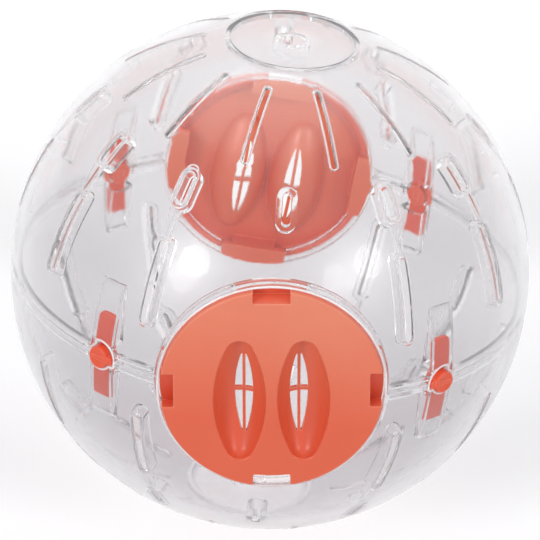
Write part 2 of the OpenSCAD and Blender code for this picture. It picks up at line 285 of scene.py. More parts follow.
def rounded_box(low: Point2, high: Point2, radius: float, top: float | None = None,
                steps: int = 6) -> list[Point2]:
    """Outline of a rectangle with round corners.

    Args:
        low: Lower left corner.
        high: Upper right corner.
        radius: Radius of the corners.
        top: Radius of the upper corners, where it differs.
        steps: Steps of each corner.

    Returns:
        The outline.
    """
    (x0, z0), (x1, z1) = low, high
    r, t = radius, radius if top is None else top
    points = []
    for centre, bend, start in (((x1 - r, z0 + r), r, -90), ((x1 - t, z1 - t), t, 0),
                                ((x0 + t, z1 - t), t, 90), ((x0 + r, z0 + r), r, 180)):
        points += arc_points(centre, bend, start, start + 90, steps)
    return points


def grown(outline: list[Point2], offset: float) -> list[Point2]:
    """Moves each point of an outline outwards along its normal.

    Args:
        outline: Anticlockwise outline with distinct neighbours.
        offset: Distance, negative to shrink.

    Returns:
        The moved outline, with as many points.
    """
    moved = []
    count = len(outline)
    for i, (x, z) in enumerate(outline):
        (xa, za), (xb, zb) = outline[i - 1], outline[(i + 1) % count]
        dx, dz = xb - xa, zb - za
        length = math.hypot(dx, dz) or 1.0
        moved.append((x + offset * dz / length, z - offset * dx / length))
    return moved


def at_front(outline: list[Point2], distance: float) -> list[Vector]:
    """Lays an outline in front of -Y, at a distance from the ball's centre."""
    return [Vector((x, -distance, z)) for x, z in outline]


def rim_levels(near: float, far: float, edge: float) -> list[Point2]:
    """Levels of a body with rounded rims, from its inner face to its outer face.

    Args:
        near: Distance of its inner face from the ball's centre.
        far: Distance of its outer face.
        edge: Radius of its rims.

    Returns:
        The outline's growth and the distance of each level.
    """
    steps = quarter_turn(4)
    inner = [(-edge * (1 - s), near + edge * (1 - c)) for s, c in steps]
    return inner + [(-edge * (1 - c), far - edge + edge * s) for s, c in steps]


def soft_block(low: Point2, high: Point2, corner: float, near: float, far: float,
               edge: float) -> bpy.types.Mesh:
    """A block along -Y with round corners and rounded rims.

    Args:
        low: Its lower left corner.
        high: Its upper right corner.
        corner: Radius of its corners.
        near: Distance of its inner face from the ball's centre.
        far: Distance of its outer face.
        edge: Radius of its rims.

    Returns:
        The closed mesh.
    """
    outline, levels = rounded_box(low, high, corner), rim_levels(near, far, edge)
    return skin([at_front(grown(outline, growth), distance) for growth, distance in levels])


def lip_rings(outline: list[Point2], face: float, lip: float, steps: int) -> list[list[Vector]]:
    """Outer rings of a cutter that leaves a rounded lip where it passes through a flat face.

    Args:
        outline: Outline of the hole.
        face: Distance of the flat face from the ball's centre.
        lip: Radius of the lip.
        steps: Steps of the lip.

    Returns:
        The rings, the last one just beyond the face.
    """
    rings = [at_front(grown(outline, lip * (1 - c)), face - lip + lip * s) for s, c in quarter_turn(steps)]
    return rings + [at_front(grown(outline, lip), face + MM)]


# Node trees


class NodeChain:
    """Adds and links the nodes of one tree."""

    def __init__(self, tree: bpy.types.NodeTree) -> None:
        """Works on the given tree."""
        self.tree = tree

    def put(self, socket: Socket, value: object) -> None:
        """Links an output to an input, or sets the input.

        Args:
            socket: The input.
            value: An output socket or a plain value.
        """
        if isinstance(value, Socket):
            self.tree.links.new(value, socket)
        else:
            socket.default_value = value

    def add(self, kind: str, *values: object, **named: object) -> bpy.types.Node:
        """Adds a node with its settings and inputs.

        Args:
            kind: Node type.
            values: Values or output sockets of its first inputs, in order.
            named: The node's own settings in small letters, and values or output sockets of its
                inputs by their names, with blanks as underscores.

        Returns:
            The node.
        """
        node = self.tree.nodes.new(kind)
        for name in filter(str.islower, named):
            setattr(node, name, named[name])
        for socket, value in zip(node.inputs, values):
            self.put(socket, value)
        for name, value in named.items():
            if not name.islower():
                label = name.replace("_", " ")
                self.put(next(s for s in node.inputs if s.enabled and s.name == label), value)
        return node

    def math(self, operation: str, a: object, b: object) -> Socket:
        """Combines two numbers or output sockets."""
        return self.add("ShaderNodeMath", a, b, operation=operation).outputs[0]

    def mix_shaders(self, share: Socket, a: Socket, b: Socket) -> Socket:
        """Mixes two shaders by the share of the second."""
        return self.add("ShaderNodeMixShader", share, a, b).outputs[0]

    def seen(self) -> Socket:
        """Finds the rays that show the white surround.

        Returns:
            1 for a ray from the camera, a reflection or clear plastic, 0 for one that lights.
        """
        path = self.add("ShaderNodeLightPath").outputs
        seen = self.math("MAXIMUM", path["Is Camera Ray"], path["Is Glossy Ray"])
        return self.math("MAXIMUM", seen, path["Is Transmission Ray"])


class Shader(NodeChain):
    """Node tree of one material, with patterns on Object coordinates."""

    def __init__(self, name: str) -> None:
        """Starts an empty material.

        Args:
            name: Its name.
        """
        self.material = bpy.data.materials.new(name)
        self.material.use_nodes = True
        super().__init__(self.material.node_tree)
        self.tree.nodes.clear()
        self.output = self.add("ShaderNodeOutputMaterial")
        self.place = self.add("ShaderNodeTexCoord").outputs["Object"]

    def level(self) -> Socket:
        """Height above the ball's middle."""
        return self.add("ShaderNodeSeparateXYZ", Vector=self.place).outputs["Z"]

    def radius(self) -> Socket:
        """Distance from the ball's centre."""
        return self.add("ShaderNodeVectorMath", self.place, operation="LENGTH").outputs["Value"]

    def noise(self, scale: float, detail: float, stretch: Point3 | None = None) -> Socket:
        """A noise pattern.

        Args:
            scale: Features per metre.
            detail: Octaves.
            stretch: Scale of each axis, for grain and scratches.

        Returns:
            Its value.
        """
        place = self.place
        if stretch is not None:
            place = self.add("ShaderNodeMapping", Vector=place, Scale=stretch).outputs["Vector"]
        return self.add("ShaderNodeTexNoise", Vector=place, Scale=scale, Detail=detail,
                        Roughness=0.55).outputs[0]

    def ramp(self, value: Socket, low: float, high: float, to_low: float, to_high: float) -> Socket:
        """Maps the range from low to high to the range from to_low to to_high, clamped."""
        return self.add("ShaderNodeMapRange", Value=value, From_Min=low, From_Max=high, To_Min=to_low,
                        To_Max=to_high).outputs["Result"]

    def patches(self, scale: float, detail: float, low: float, high: float,
                stretch: Point3 | None = None) -> Socket:
        """Soft patches of noise between a low and a high value."""
        return self.ramp(self.noise(scale, detail, stretch), 0.3, 0.7, low, high)

    def mix_colour(self, share: Socket, a: object, b: object) -> Socket:
        """Mixes two colours by the share of the second."""
        node = self.add("ShaderNodeMix", data_type="RGBA", Factor=share, A=a, B=b)
        return next(s for s in node.outputs if s.enabled)

    def bump(self, strength: float, distance: float, height: Socket) -> Socket:
        """Normal of a surface with relief."""
        return self.add("ShaderNodeBump", Strength=strength, Distance=distance,
                        Height=height).outputs["Normal"]

    def finish(self, surface: Socket) -> bpy.types.Material:
        """Ends the tree with its surface and gives the material."""
        self.put(self.output.inputs["Surface"], surface)
        return self.material


class SkinTree(NodeChain):
    """Geometry node tree with named inputs that lays fine beads along paths on the skin."""

    bead_step: float = 0.7 * MM
    bead_sides: int = 10

    def __init__(self, name: str, values: dict[str, object]) -> None:
        """Starts a tree with a mesh input and one named input for each value.

        Args:
            name: Name of the tree.
            values: Value of each named input, a number or a finish.
        """
        super().__init__(bpy.data.node_groups.new(name, "GeometryNodeTree"))
        self.values = values
        kinds = {float: "NodeSocketFloat", int: "NodeSocketInt", bpy.types.Material: "NodeSocketMaterial"}
        face = self.tree.interface
        face.new_socket("Geometry", in_out="INPUT", socket_type="NodeSocketGeometry")
        for label, value in values.items():
            face.new_socket(label, in_out="INPUT", socket_type=kinds[type(value)])
        face.new_socket("Geometry", in_out="OUTPUT", socket_type="NodeSocketGeometry")
        self.inputs = self.add("NodeGroupInput").outputs
        self.end = self.add("NodeGroupOutput")

    def vector(self, x: object, y: object, z: object) -> Socket:
        """Joins three values into a vector."""
        return self.add("ShaderNodeCombineXYZ", X=x, Y=y, Z=z).outputs[0]

    def euler(self, x: object, y: object, z: object) -> Socket:
        """Joins three angles into a rotation."""
        return self.add("FunctionNodeEulerToRotation", self.vector(x, y, z)).outputs[0]

    def vector_math(self, operation: str, *values: Socket, **named: Socket) -> Socket:
        """Combines vectors."""
        return self.add("ShaderNodeVectorMath", *values, operation=operation, **named).outputs["Vector"]

    def bead_along(self, path: Socket, half: object) -> None:
        """Bends paths to the skin, gives them a round profile and a finish, and ends the tree.

        Args:
            path: The curves to follow.
            half: 1 to keep them in their half, -1 to turn them upside down, or a socket.
        """
        even = self.add("GeometryNodeResampleCurve", mode="LENGTH", Curve=path, Length=self.bead_step)
        radial = self.vector_math("NORMALIZE", self.add("GeometryNodeInputPosition").outputs[0])
        bent = self.vector_math("SCALE", radial, Scale=self.inputs["Skin Radius"])
        bent = self.vector_math("MULTIPLY", bent, self.vector(1.0, 1.0, half))
        skin_line = self.add("GeometryNodeSetPosition", Geometry=even.outputs[0], Position=bent)
        profile = self.add("GeometryNodeCurvePrimitiveCircle", Resolution=self.bead_sides,
                           Radius=self.inputs["Bead Radius"])
        bead = self.add("GeometryNodeCurveToMesh", Curve=skin_line.outputs[0],
                        Profile_Curve=profile.outputs[0], Fill_Caps=True)
        smooth = self.add("GeometryNodeSetShadeSmooth", Geometry=bead.outputs[0])
        whole = self.add("GeometryNodeRealizeInstances", Geometry=smooth.outputs[0])
        dressed = self.add("GeometryNodeSetMaterial", Geometry=whole.outputs[0],
                           Material=self.inputs["Material"])
        self.put(self.end.inputs[0], dressed.outputs[0])

    def lay(self, name: str, start: bpy.types.Mesh) -> bpy.types.Object:
        """Runs the tree once and keeps its result as a plain mesh.

        Args:
            name: Name of the piece.
            start: The mesh that the tree starts from, which is used up.

        Returns:
            The piece.
        """
        carrier = new_object("work_carrier", start)
        modifier = carrier.modifiers.new("tree", "NODES")
        modifier.node_group = self.tree
        for item in self.tree.interface.items_tree:
            if item.in_out == "INPUT" and item.name in self.values:
                modifier[item.identifier] = self.values[item.name]
        mesh = faced_outwards(evaluated(carrier))
        drop(carrier)
        dress(mesh, self.values["Material"])
        return new_object(name, mesh)


# Finishes


@dataclass(frozen=True)
class ClearPlastic:
    """Thin clear moulded plastic, faintly lilac, with fine scuffs from rolling, painted shade towards the
    bottom and a painted highlight at grazing angles.
    """

    name: str = "clear_moulded_plastic"
    tint: Colour = (0.85, 0.832, 0.842, 1.0)
    # Painted shade: the tint gives way to this darker colour from tint_above down to shade_below.
    shade: Colour = (0.53, 0.52, 0.55, 1.0)
    tint_above: float = 72.0 * MM
    shade_below: float = -58.0 * MM
    # White of the inner faces, also mixed in as the painted grazing highlight.
    edge: Colour = WHITE
    haze: Colour = (0.97, 0.97, 0.98, 1.0)
    # Share of white veil: real haze on the shell, a painted highlight on the whitened mouldings.
    haze_and_highlight_share: float = 0.012
    # Share of white veil added at grazing angles, a painted highlight.
    grazing_highlight_share: float = 0.22
    skin_from: float = 89.2 * MM
    skin_to: float = 89.7 * MM
    lamp_tint: Colour = (0.997, 0.996, 0.998, 1.0)
    gloss_tint: Colour = (0.1, 0.1, 0.1, 1.0)
    sheen_roughness: float = 0.32
    ior: float = 1.46
    wave_height: float = 1.2 * MM

    def build(self) -> bpy.types.Material:
        """Builds the material.

        Returns:
            A clear material that lets lamplight through to what it shuts in.
        """
        s = Shader(self.name)
        # Painted shade: darker towards the bottom, with random patches of tone on top.
        painted_shade_and_tone = s.math("ADD", s.ramp(s.level(), self.tint_above, self.shade_below, 0.0, 1.0),
                       s.patches(9.0, 2.0, -0.1, 0.1))
        # Painted highlight: at grazing angles the colour turns paler and a white veil is mixed in.
        grazing_highlight = s.ramp(s.add("ShaderNodeLayerWeight", Blend=0.5).outputs["Facing"], 0.5, 0.95, 0.0, 1.0)
        inner = s.ramp(s.radius(), self.skin_from, self.skin_to, 1.0, 0.0)
        pale = s.math("MAXIMUM", inner, s.math("MULTIPLY", grazing_highlight, 0.8))
        colour = s.mix_colour(pale, s.mix_colour(painted_shade_and_tone, self.tint, self.shade), self.edge)
        scuffs = s.math("MULTIPLY", s.noise(90.0, 4.0, (1.0, 1.0, 14.0)), s.noise(30.0, 3.0))
        rough = s.ramp(scuffs, 0.2, 0.5, 0.015, 0.09)
        scratches = s.math("MULTIPLY", s.noise(420.0, 2.0, (1.0, 7.0, 1.0)), 0.02)
        relief = s.bump(0.12, self.wave_height, s.math("ADD", s.noise(26.0, 2.0), scratches))
        clear = s.add("ShaderNodeBsdfPrincipled", Base_Color=colour, Roughness=rough, IOR=self.ior,
                      Specular_Tint=self.gloss_tint, Coat_Weight=s.math("SUBTRACT", 1.0, inner),
                      Coat_Roughness=self.sheen_roughness, Transmission_Weight=1.0, Normal=relief)
        veil = s.add("ShaderNodeBsdfPrincipled", Base_Color=self.haze, Roughness=rough, Normal=relief)
        # White veil: random haze plus the painted grazing highlight.
        cloud = s.patches(14.0, 4.0, self.haze_and_highlight_share * 0.6, self.haze_and_highlight_share * 1.4)
        share = s.math("ADD", cloud, s.math("MULTIPLY", grazing_highlight, self.grazing_highlight_share))
        hazed = s.mix_shaders(share, clear.outputs[0], veil.outputs[0])
        path = s.add("ShaderNodeLightPath").outputs
        lamplight = s.math("MAXIMUM", path["Is Shadow Ray"], path["Is Diffuse Ray"])
        see_through = s.add("ShaderNodeBsdfTransparent", Color=self.lamp_tint)
        return s.finish(s.mix_shaders(lamplight, hazed, see_through.outputs[0]))


@dataclass(frozen=True)
class SatinPlastic:
    """Opaque moulded plastic with a satin skin, faint flow marks and fine handling scratches, painted shade
    in its hollows, a painted highlight along its edges and a painted sheen towards the top.
    """

    name: str
    colour: Colour
    deep: Colour
    # Paler colour of the painted highlight along edges and of the painted sheen towards the top.
    pale_highlight: Colour
    # Painted shade: the deeper colour taken in hollows.
    painted_shade: Colour
    # Painted sheen that pales the colour towards the top, between these two heights.
    painted_top_sheen: float = 0.0
    painted_sheen_from: float = -12.0 * MM
    painted_sheen_to: float = 34.0 * MM
    painted_shade_share: float = 0.68
    painted_shade_reach: float = 8.0 * MM
    edge_reach: float = 0.5 * MM
    roughness: float = 0.36
    grain_height: float = 0.3 * MM

    def build(self) -> bpy.types.Material:
        """Builds the material.

        Returns:
            The satin material.
        """
        s = Shader(self.name)
        colour = s.mix_colour(s.patches(22.0, 3.0, 0.0, 1.0, (1.0, 1.0, 0.45)), self.colour, self.deep)
        # Painted sheen: higher up the colour pales, in soft patches.
        painted_top_sheen = s.math("MULTIPLY", s.ramp(s.level(), self.painted_sheen_from, self.painted_sheen_to, 0.0, self.painted_top_sheen),
                       s.patches(35.0, 2.0, 0.7, 1.0))
        colour = s.mix_colour(painted_top_sheen, colour, self.pale_highlight)
        # Painted shade: the colour deepens in hollows, found by ambient occlusion.
        hollow = s.add("ShaderNodeAmbientOcclusion", samples=6, Distance=self.painted_shade_reach)
        depth = s.ramp(hollow.outputs["AO"], 0.35, 0.95, self.painted_shade_share, 0.0)
        colour = s.mix_colour(depth, colour, self.painted_shade)
        # Painted highlight: the colour pales along edges, in mottled patches.
        bevel = s.add("ShaderNodeBevel", samples=4, Radius=self.edge_reach)
        evenness = s.add("ShaderNodeVectorMath", bevel.outputs[0],
                         s.add("ShaderNodeNewGeometry").outputs["Normal"], operation="DOT_PRODUCT")
        edge_highlight = s.math("MULTIPLY", s.ramp(evenness.outputs["Value"], 0.985, 0.86, 0.0, 0.8),
                        s.ramp(s.noise(160.0, 3.0), 0.35, 0.6, 0.6, 1.0))
        colour = s.mix_colour(edge_highlight, colour, self.pale_highlight)
        scratch = s.noise(700.0, 2.0, (1.0, 1.0, 0.06))
        rough = s.math("ADD", s.patches(48.0, 4.0, self.roughness - 0.05, self.roughness + 0.07),
                       s.ramp(scratch, 0.55, 0.75, 0.0, 0.08))
        grain = s.math("MULTIPLY", s.noise(2600.0, 2.0), 0.35)
        relief = s.bump(0.10, self.grain_height, s.math("ADD", grain, s.math("MULTIPLY", scratch, 0.4)))
        satin = s.add("ShaderNodeBsdfPrincipled", Base_Color=colour, Roughness=rough, Normal=relief)
        return s.finish(satin.outputs[0])


@dataclass(frozen=True)
class StudioPaper:
    """Seamless white paper that shows white to the camera and keeps the soft shadow."""

    name: str = "studio_paper"
    colour: Colour = (0.86, 0.86, 0.86, 1.0)
    lift: float = 0.13
    far_lift: float = 0.56
    lift_from: float = 0.2
    lift_to: float = 1.6

    def build(self) -> bpy.types.Material:
        """Builds the material.

        Returns:
            The paper material.
        """
        s = Shader(self.name)
        fibre = tuple(c * 0.99 for c in self.colour[:3]) + (1.0,)
        tone = s.mix_colour(s.patches(900.0, 3.0, 0.0, 1.0), self.colour, fibre)
        paper = s.add("ShaderNodeBsdfDiffuse", Color=tone, Roughness=0.4)
        lift = s.ramp(s.radius(), self.lift_from, self.lift_to, self.lift, self.far_lift)
        glow = s.add("ShaderNodeEmission", Color=WHITE, Strength=s.math("MULTIPLY", s.seen(), lift))
        return s.finish(s.add("ShaderNodeAddShader", paper.outputs[0], glow.outputs[0]).outputs[0])


# Fine mouldings on the skin, made by geometry nodes


class Moulding(Enum):
    """Outline of a fine moulding on the ball's skin."""

    BORDER = "border"
    ARCH = "arch"
    TAPER = "taper"


@dataclass
class MouldingRing:
    """A ring of equal fine mouldings that follow the skin of one half."""

    moulding: Moulding
    width: float
    height: float
    latitude: float
    bead: float
    radius: float
    half_step: bool = False
    door_gap: float = 0.0
    end_width: float = 1.0 * MM
    count: int = 12

    def outline(self, made: SkinTree) -> Socket:
        """Builds the flat outline of one moulding.

        Args:
            made: The tree being built.

        Returns:
            The curve socket.
        """
        half_width = made.math("MULTIPLY", made.inputs["Width"], 0.5)
        if self.moulding is Moulding.BORDER:
            box = made.add("GeometryNodeCurvePrimitiveQuadrilateral", Width=made.inputs["Width"],
                           Height=made.inputs["Height"])
            ends = made.math("MULTIPLY", half_width, 0.99)
            return made.add("GeometryNodeFilletCurve", mode="POLY", Curve=box.outputs[0], Count=10,
                            Radius=ends).outputs[0]
        if self.moulding is Moulding.ARCH:
            return made.add("GeometryNodeCurveArc", Resolution=20, Radius=half_width, Start_Angle=0.0,
                            Sweep_Angle=math.pi).outputs[0]
        high = made.math("MULTIPLY", made.inputs["Height"], 0.5)
        low = made.math("MULTIPLY", high, -1.0)
        half_end = made.math("MULTIPLY", made.inputs["End Width"], 0.5)
        join = made.add("GeometryNodeJoinGeometry")
        for sign in (1.0, -1.0):
            start = made.vector(made.math("MULTIPLY", half_width, sign), high, 0.0)
            end = made.vector(made.math("MULTIPLY", half_end, sign), low, 0.0)
            line = made.add("GeometryNodeCurvePrimitiveLine", Start=start, End=end)
            made.put(join.inputs[0], line.outputs[0])
        return join.outputs[0]

    def build(self, name: str, half: int, material: bpy.types.Material) -> bpy.types.Object:
        """Makes the ring as a plain mesh: outline, ring of instances, bend to the skin, round profile.

        Args:
            name: Name of the piece.
            half: 1 for the upper half, -1 for the lower.
            material: Finish of the mouldings.

        Returns:
            The piece.
        """
        first = math.pi / self.count if self.half_step else 0.0
        made = SkinTree("moulding_ring_" + self.moulding.value, {
            "Width": self.width, "Height": self.height, "End Width": self.end_width,
            "Latitude": math.radians(self.latitude), "Count": self.count, "First Angle": first,
            "Skin Radius": self.radius, "Bead Radius": self.bead, "Door Clearance": self.door_gap,
            "Half": float(half), "Material": material})
        sizes = made.inputs
        stand = made.add("GeometryNodeTransform", Geometry=self.outline(made),
                         Rotation=made.euler(math.pi / 2, 0.0, 0.0))
        back = made.math("MULTIPLY", sizes["Skin Radius"], -1.0)
        push = made.add("GeometryNodeTransform", Geometry=stand.outputs[0],
                        Translation=made.vector(0.0, back, 0.0))
        lean = made.math("MULTIPLY", sizes["Latitude"], -1.0)
        tilt = made.add("GeometryNodeTransform", Geometry=push.outputs[0],
                        Rotation=made.euler(lean, 0.0, 0.0))
        line = made.add("GeometryNodeMeshLine", Count=sizes["Count"], Offset=(0.0, 0.0, 0.0))
        step = made.math("DIVIDE", 2 * math.pi, sizes["Count"])
        index = made.add("GeometryNodeInputIndex").outputs[0]
        azimuth = made.math("ADD", made.math("MULTIPLY", index, step), sizes["First Angle"])
        aside = made.math("ABSOLUTE", made.math("SINE", azimuth, 0.0), 0.0)
        beside_door = made.math("GREATER_THAN", made.math("MULTIPLY", aside, sizes["Skin Radius"]),
                                sizes["Door Clearance"])
        ring = made.add("GeometryNodeInstanceOnPoints", Points=line.outputs[0], Selection=beside_door,
                        Instance=tilt.outputs[0], Rotation=made.euler(0.0, 0.0, azimuth))
        real = made.add("GeometryNodeRealizeInstances", Geometry=ring.outputs[0])
        made.bead_along(real.outputs[0], sizes["Half"])
        return made.lay(name, bpy.data.meshes.new("work_ring"))


@dataclass
class SkinBorders:
    """Fine borders around the knob holes or door seats of one half, along paths on the skin."""

    half: int
    hole: float = 4.1 * MM
    swing: float = 5.7 * MM
    swing_side: float = 1.7 * MM
    seat: float = 37.5 * MM
    seam_gap: float = 0.15 * MM
    bead: float = 0.38 * MM

    def hole_path(self) -> list[Point2]:
        """Path around one hole's edge in this half, with the door to the right.

        Returns:
            The points on the flat, from the seam to the seam.
        """
        near, far, side = self.hole + self.bead, self.swing + self.bead, self.swing_side + self.bead
        centre = (0.0, 0.0)
        if self.half > 0:
            turn_near, turn_far = (math.degrees(math.acos(-side / reach)) for reach in (near, far))
            return arc_points(centre, near, 180, turn_near, 12) + arc_points(centre, far, turn_far, 0, 24)
        turn = math.degrees(math.asin(side / near))
        return arc_points(centre, near, -180, -turn, 30) + [(far, -side), (far, 0.0)]

    def paths(self, around_doors: bool) -> bpy.types.Mesh:
        """All paths of this half, as loose edges on the ball.

        Args:
            around_doors: Whether they run around the two door seats or the four knob holes.

        Returns:
            The mesh of edges.
        """
        verts, edges = [], []
        path, places = self.hole_path(), [(azimuth, mirrored) for _, azimuth, mirrored in LATCHES]
        if around_doors:
            path = arc_points((0.0, 0.0), self.seat + self.bead, 0, 180 * self.half, 96)
            places = [(0.0, False), (180.0, False)]
        for azimuth, mirrored in places:
            turn = Matrix.Rotation(math.radians(azimuth), 3, "Z")
            first = len(verts)
            for x, z in path:
                z = self.half * max(abs(z), self.seam_gap)
                y = -math.sqrt(BALL_RADIUS ** 2 - x * x - z * z)
                verts.append(tuple(turn @ Vector((-x if mirrored else x, y, z))))
            edges += [(i, i + 1) for i in range(first, len(verts) - 1)]
        mesh = bpy.data.meshes.new("work_paths")
        mesh.from_pydata(verts, edges, [])
        return mesh

    def build(self, name: str, around_doors: bool, material: bpy.types.Material) -> bpy.types.Object:
        """Makes the borders as one plain mesh.

        Args:
            name: Name of the piece.
            around_doors: Whether they run around the door seats or the knob holes.
            material: Finish of the borders.

        Returns:
            The piece.
        """
        made = SkinTree("skin_borders", {"Skin Radius": BALL_RADIUS - self.bead * BEAD_SINK,
                                         "Bead Radius": self.bead, "Material": material})
        line = made.add("GeometryNodeMeshToCurve", Mesh=made.inputs["Geometry"])
        made.bead_along(line.outputs[0], 1.0)
        return made.lay(name, self.paths(around_doors))


# The ball's own pieces


@dataclass
class HalfShell:
    """One clear half: the moulded shell and the fine borders of its slots, holes and seats."""

    name: str
    node: str
    body: str
    half: int
    bead: float = 0.34 * MM
    slim_bead: float = 0.8
    neck_bead: float = 0.7
    mid_width: float = 3.0 * MM
    mid_border: float = 0.6 * MM
    mid_collar: float = 1.9 * MM
    mid_from: float = 38.0
    mid_to: float = 45.1
    arch_width: float = 4.2 * MM
    arch_rise: float = 0.7 * MM
    neck_width: float = 4.4 * MM
    neck_end: float = 1.6 * MM
    neck_gap: float = 1.6 * MM
    top_width: float = 2.0 * MM
    top_border: float = 0.9 * MM
    top_from: float = 50.2
    top_to: float = 70.2
    low_width: float = 3.2 * MM
    low_border: float = 0.7 * MM
    low_from: float = 11.3
    low_to: float = 29.8
    door_gap: float = 40.7 * MM

    def span(self, low: float, high: float) -> float:
        """Height of a slot between two latitudes."""
        return 2 * BALL_RADIUS * math.sin(math.radians(high - low) / 2)

    def rings(self) -> dict[str, MouldingRing]:
        """The rings of mouldings of this half.

        Returns:
            Each ring by a short name.
        """
        skin_radius = BALL_RADIUS - self.bead * BEAD_SINK
        slim = self.bead * self.slim_bead
        top, mid, low = (self.span(*ends) for ends in (
            (self.top_from, self.top_to), (self.mid_from, self.mid_to), (self.low_from, self.low_to)))
        mid_middle = (self.mid_from + self.mid_to) / 2
        outer_width = self.mid_width + 2 * self.mid_collar - 2 * self.bead
        arch_at = self.mid_to + math.degrees(self.arch_rise / BALL_RADIUS)
        neck_from = self.low_to + math.degrees(self.neck_gap / BALL_RADIUS)
        neck_to = self.mid_from - math.degrees(self.mid_collar / BALL_RADIUS)
        border = Moulding.BORDER
        return {
            "top_slot_borders": MouldingRing(
                border, self.top_width + self.top_border, top + self.top_border,
                (self.top_from + self.top_to) / 2, slim, skin_radius, half_step=True),
            "mid_slot_borders": MouldingRing(
                border, self.mid_width + self.mid_border, mid + self.mid_border, mid_middle, self.bead,
                skin_radius),
            "mid_slot_rims": MouldingRing(
                border, outer_width, mid + 2 * self.mid_collar - 2 * self.bead, mid_middle, self.bead,
                skin_radius),
            "mid_slot_arches": MouldingRing(
                Moulding.ARCH, self.arch_width, 0.0, arch_at, self.bead, skin_radius),
            "mid_slot_necks": MouldingRing(
                Moulding.TAPER, self.neck_width, self.span(neck_from, neck_to), (neck_from + neck_to) / 2,
                self.bead * self.neck_bead, skin_radius, door_gap=self.door_gap, end_width=self.neck_end),
            "low_slot_borders": MouldingRing(
                border, self.low_width + self.low_border, low + self.low_border,
                (self.low_from + self.low_to) / 2, slim, skin_radius, door_gap=self.door_gap),
        }

    def build(self, clear: bpy.types.Material, edges: bpy.types.Material,
              rims: bpy.types.Material) -> None:
        """Dresses the shell and adds its mouldings.

        Args:
            clear: The clear finish.
            edges: The paler finish of the mouldings, whitened as a painted highlight.
            rims: The palest finish, of the borders around knob holes and door seats, whitened as a painted
                highlight.
        """
        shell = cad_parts[self.node]
        dress(shell.data, clear)
        pieces = [ring.build(f"{self.name}_{short}", self.half, edges)
                  for short, ring in self.rings().items()]
        borders = SkinBorders(self.half)
        for short, around_doors in (("knob_hole", False), ("door_seat", True)):
            pieces.append(borders.build(f"{self.name}_{short}_borders", around_doors, rims))
        for piece in pieces:
            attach(piece, self.body)
            log.info("%s: %d faces", piece.name, len(piece.data.polygons))
        log.info("%s: dressed, with %d mouldings", self.node, len(pieces))


@dataclass
class Oval:
    """Upright oval of two long side arcs and two small end arcs."""

    half_width: float
    half_height: float
    end_radius: float

    def width_at(self, z: float, grow: float = 0.0) -> float:
        """Half width of the oval.

        Args:
            z: Height above its middle.
            grow: Growth of the oval on all sides.

        Returns:
            The half width, or 0 beyond its ends.
        """
        w, h, e = self.half_width, self.half_height, self.end_radius
        side = (w * w + h * h - 2 * h * e) / (2 * (w - e))
        end = h - e
        join = end * (side + grow) / (side - e)
        z = abs(z)
        if z <= join:
            return math.sqrt((side + grow) ** 2 - z * z) - (side - w)
        return math.sqrt(max(0.0, (e + grow) ** 2 - (z - end) ** 2))


@dataclass
class FingerRecess:
    """A finger recess: an oval turned about its upright axis."""

    side: int
    width: float = 17.2 * MM
    height: float = 44.8 * MM
    end_radius: float = 4.6 * MM
    depth: float = 8.6 * MM
    offset: float = 10.6 * MM
    low: float = 4.0 * MM
    lip: float = 0.9 * MM
    points: int = 120
    steps: int = 22
    tip: float = 0.9995  # share of the depth, or of the wall behind it, that the first ring takes

    def depth_at(self, x: float, z: float, grow: float) -> float:
        """Depth of the recess below the door's face.

        Args:
            x: Distance to the side from its axis.
            z: Height above its middle.
            grow: Growth of the shape, for the back of its wall.

        Returns:
            The depth, negative outside the recess.
        """
        round_r = (self.width ** 2 / 4 + self.depth ** 2) / (2 * self.depth)
        reach = Oval(round_r, self.height / 2, self.end_radius).width_at(z, grow)
        if reach <= abs(x):
            return -1.0
        return math.sqrt(reach * reach - x * x) + self.depth - round_r

    def outline(self, depth: float, grow: float) -> list[Point2]:
        """The recess's outline at a depth, found by halving.

        Args:
            depth: Depth below the door's face.
            grow: Growth of the shape.

        Returns:
            The outline on the door, with self.points points.
        """
        points = []
        for i in range(self.points):
            a = 2 * math.pi * i / self.points
            run, rise = math.cos(a), math.sin(a) * self.height / self.width
            low, high = 0.0, self.width
            for _ in range(32):
                middle = (low + high) / 2
                if self.depth_at(middle * run, middle * rise, grow) > depth:
                    low = middle
                else:
                    high = middle
            points.append((self.side * self.offset + low * run, low * rise - self.low))
        return points

    def rings(self, face: float, least: float, full: float, grow: float) -> list[list[Vector]]:
        """Rings of the recess from its deepest point up.

        Args:
            face: Distance of the door's face from the ball's centre.
            least: Depth of the last ring.
            full: Depth of the first ring.
            grow: Growth of the shape.

        Returns:
            The rings.
        """
        rings = []
        for i in range(self.steps + 1):
            depth = least + (full - least) * math.sin(math.pi / 2 * (1 - i / self.steps))
            rings.append(at_front(self.outline(depth, grow), face - depth))
        return rings

    def cutter(self, face: float) -> bpy.types.Mesh:
        """The cutter of the recess, with a flared lip for a door's face at the given distance."""
        rings = self.rings(face, self.lip, self.depth * self.tip, 0.0)[:-1]
        return skin(rings + lip_rings(self.outline(self.lip, 0.0), face, self.lip, 6))

    def back(self, face: float, wall: float, from_depth: float) -> bpy.types.Mesh:
        """The back of the recess's wall, as a solid bulge that starts at a depth in the plate."""
        return skin(self.rings(face, from_depth, self.depth + wall * self.tip, wall))


